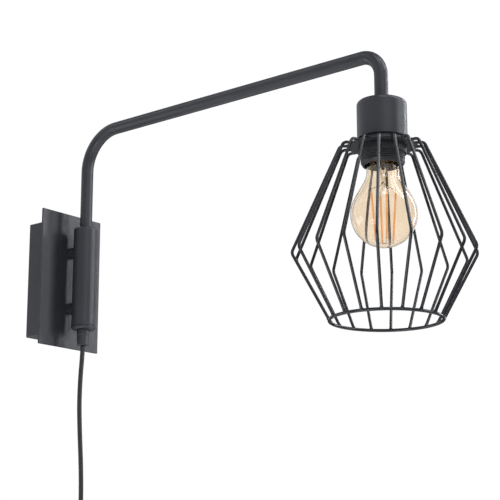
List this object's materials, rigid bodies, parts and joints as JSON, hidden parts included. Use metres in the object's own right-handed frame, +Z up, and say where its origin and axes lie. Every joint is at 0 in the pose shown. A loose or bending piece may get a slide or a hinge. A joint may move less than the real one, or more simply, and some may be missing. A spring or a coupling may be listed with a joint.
{
  "type": "swing arm wall lamp",
  "caption": "Wall lamp: box with front plate, pivot sleeve, bent swinging tube, wire cage head with screw-in globe bulb, and a mains lead with inline switch and plug.",
  "frame": {"origin": "middle of the wall bracket's back face, on the wall plane", "axes": "+Y into the wall, +Z up, X along the wall; the arm at rest stands out along -Y"},
  "size_m": [0.164, 0.5161, 0.6302],
  "materials": {
    "coat": "satin anthracite powder coat",
    "zinc": "zinc plated",
    "nylon": "natural nylon",
    "black_moulding": "black thermoset, fine matt",
    "brass": "plain",
    "nickel": "nickel plated",
    "ceramic": "steatite",
    "amber_glass": "clear amber",
    "stem_glass": "clear",
    "filament": "orange phosphor coating",
    "pvc": "black PVC sheath"
  },
  "bodies": {
    "root": {"wall_bracket": "zinc", "wall_housing": "coat", "housing_screw_top": "zinc", "housing_screw_bottom": "zinc", "front_plate": "coat", "standoff_upper": "coat", "standoff_lower": "coat", "standoff_screw_upper": "zinc", "standoff_screw_lower": "zinc", "pivot_sleeve": "coat", "sleeve_top_bush": "nylon", "sleeve_bottom_bush": "nylon", "swing_stop_screw": "zinc", "sleeve_end_cap": "coat", "cord_gland": "coat", "cord_upper": "pvc", "switch_housing": "black_moulding", "cord_middle": "pvc", "cord_hank": "pvc", "hank_tie": "black_moulding", "cord_lower": "pvc", "plug_body": "black_moulding", "plug_pin_left": "nickel", "plug_pin_right": "nickel"},
    "arm": {"arm_tube": "coat", "arm_stop_collar": "zinc", "inner_cable": "pvc", "holder_nipple": "brass", "socket_cup": "coat", "lamp_holder": "black_moulding", "screw_shell": "brass", "centre_contact": "brass", "holder_insert": "ceramic", "shade_ring_nut": "black_moulding", "cage_hub_plate": "coat", "cage_bottom_ring": "coat", "cage_wire_01": "coat", "cage_wire_02": "coat", "cage_wire_03": "coat", "cage_wire_04": "coat", "cage_wire_05": "coat", "cage_wire_06": "coat", "cage_wire_07": "coat", "cage_wire_08": "coat", "cage_wire_09": "coat", "cage_wire_10": "coat", "cage_wire_11": "coat", "cage_wire_12": "coat", "cage_wire_13": "coat", "cage_wire_14": "coat", "cage_wire_15": "coat", "cage_wire_16": "coat", "cage_wire_17": "coat", "cage_wire_18": "coat"},
    "bulb_foot": {"bulb_foot_contact": "brass"},
    "bulb": {"bulb_glass": "amber_glass", "bulb_screw_cap": "brass", "bulb_stem": "stem_glass", "bulb_filaments": "filament"},
    "rocker": {"switch_rocker": "black_moulding"}
  },
  "joints": [
    {"name": "arm_swing", "type": "hinge", "parent": "root", "child": "arm", "pos_m": [0, -0.053, 0], "axis": [0, 0, 1], "range_deg": [-80, 80]},
    {"name": "bulb_travel", "type": "slide", "parent": "arm", "child": "bulb_foot", "axis": [0, 0, -1], "range_m": [0, 0.02177]},
    {"name": "bulb_turn", "type": "hinge", "parent": "bulb_foot", "child": "bulb", "pos_m": [0, -0.433, 0], "axis": [0, 0, -1], "range_deg": [0, 2160]},
    {"name": "switch_rocker", "type": "hinge", "parent": "root", "child": "rocker", "pos_m": [0.0015, -0.0605, -0.265], "axis": [-1, 0, 0], "range_deg": [0, 16]}
  ],
  "couplings": [
    {"joint": "bulb_turn", "follows": "bulb_travel", "rad_per_m": 1731.4}
  ]
}
